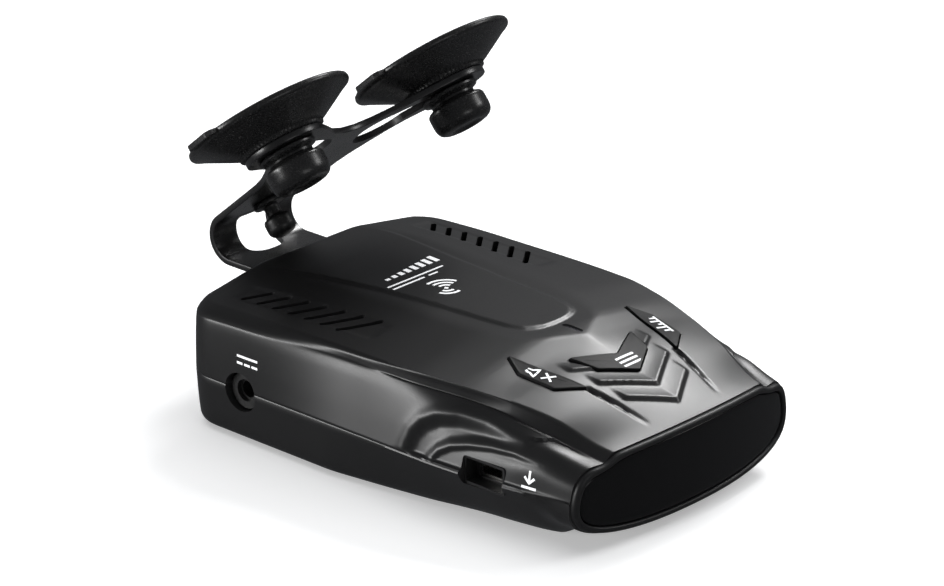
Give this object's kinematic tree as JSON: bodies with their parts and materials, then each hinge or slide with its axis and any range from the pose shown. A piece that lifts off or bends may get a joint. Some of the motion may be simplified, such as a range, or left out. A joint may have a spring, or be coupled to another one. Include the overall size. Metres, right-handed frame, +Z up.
{
  "type": "radar detector",
  "caption": "Windscreen radar detector with smoked display, sloped control deck with keys, clip-in metal bracket and suction cups.",
  "frame": {"origin": "centre of the flat underside of the housing", "axes": "+Z up, display face towards -Y, windscreen end towards +Y, +X to the driver's right"},
  "size_m": [0.0864, 0.1254, 0.0795],
  "materials": {
    "cover_black": "satin black moulded plastic with fine texture",
    "bezel_black": "semi-gloss black",
    "smoked_lens": "dark smoked acrylic",
    "inner_plastic": "matt black",
    "key_black": "satin black",
    "switch_metal": "plated",
    "circuit_board": "solder mask green",
    "flex_film": "polyimide film",
    "clear_pipe": "clear light pipe",
    "antenna_metal": "die cast",
    "ceramic": "ceramic",
    "laser_lens": "dark red infrared window",
    "socket_plastic": "matt black",
    "socket_metal": "plated shell",
    "spring_steel": "bright",
    "screw_steel": "zinc plated",
    "bracket_metal": "black brushed metal",
    "cup_rubber": "satin black PVC",
    "bumper_rubber": "matt black rubber"
  },
  "bodies": {
    "housing": {"upper_cover": "cover_black", "lower_cover": "cover_black", "display_bezel": "bezel_black", "display_window": "smoked_lens", "display_module": "inner_plastic", "tact_switches": "switch_metal", "key_pcb": "circuit_board", "flex_cable": "flex_film", "light_sensor_window": "clear_pipe", "main_pcb": "circuit_board", "horn_antenna": "antenna_metal", "antenna_shield": "antenna_metal", "gps_antenna": "ceramic", "laser_window": "laser_lens", "laser_receiver": "inner_plastic", "speaker": "inner_plastic", "dc_jack": "socket_plastic", "usb_socket": "socket_metal", "bracket_guide": "inner_plastic", "bracket_spring": "spring_steel", "case_screws": "screw_steel", "pcb_screws": "screw_steel"},
    "mute_key": {"mute_button": "key_black"},
    "menu_key": {"menu_button": "key_black"},
    "city_key": {"city_button": "key_black"},
    "bracket": {"bracket_plate": "bracket_metal", "bumper": "bumper_rubber"},
    "left_cup": {"suction_cup_left": "cup_rubber"},
    "right_cup": {"suction_cup_right": "cup_rubber"}
  },
  "joints": [
    {"name": "bracket_slide", "type": "slide", "parent": "housing", "child": "bracket", "axis": [0, 1, 0], "range_m": [0, 0.024]},
    {"name": "left_cup_turn", "type": "hinge", "parent": "bracket", "child": "left_cup", "pos_m": [-0.02405, 0.0404, 0.0679], "axis": [0, 0.6428, 0.766], "continuous": true},
    {"name": "right_cup_turn", "type": "hinge", "parent": "bracket", "child": "right_cup", "pos_m": [0.02405, 0.0404, 0.0679], "axis": [0, 0.6428, 0.766], "continuous": true},
    {"name": "mute_press", "type": "slide", "parent": "housing", "child": "mute_key", "axis": [0, 0.2891, -0.9573], "range_m": [0, 0.0006], "stiffness_N_per_m": 400, "springref_m": -0.0006},
    {"name": "menu_press", "type": "slide", "parent": "housing", "child": "menu_key", "axis": [0, 0.2891, -0.9573], "range_m": [0, 0.0006], "stiffness_N_per_m": 400, "springref_m": -0.0006},
    {"name": "city_press", "type": "slide", "parent": "housing", "child": "city_key", "axis": [0, 0.2891, -0.9573], "range_m": [0, 0.0006], "stiffness_N_per_m": 400, "springref_m": -0.0006}
  ]
}
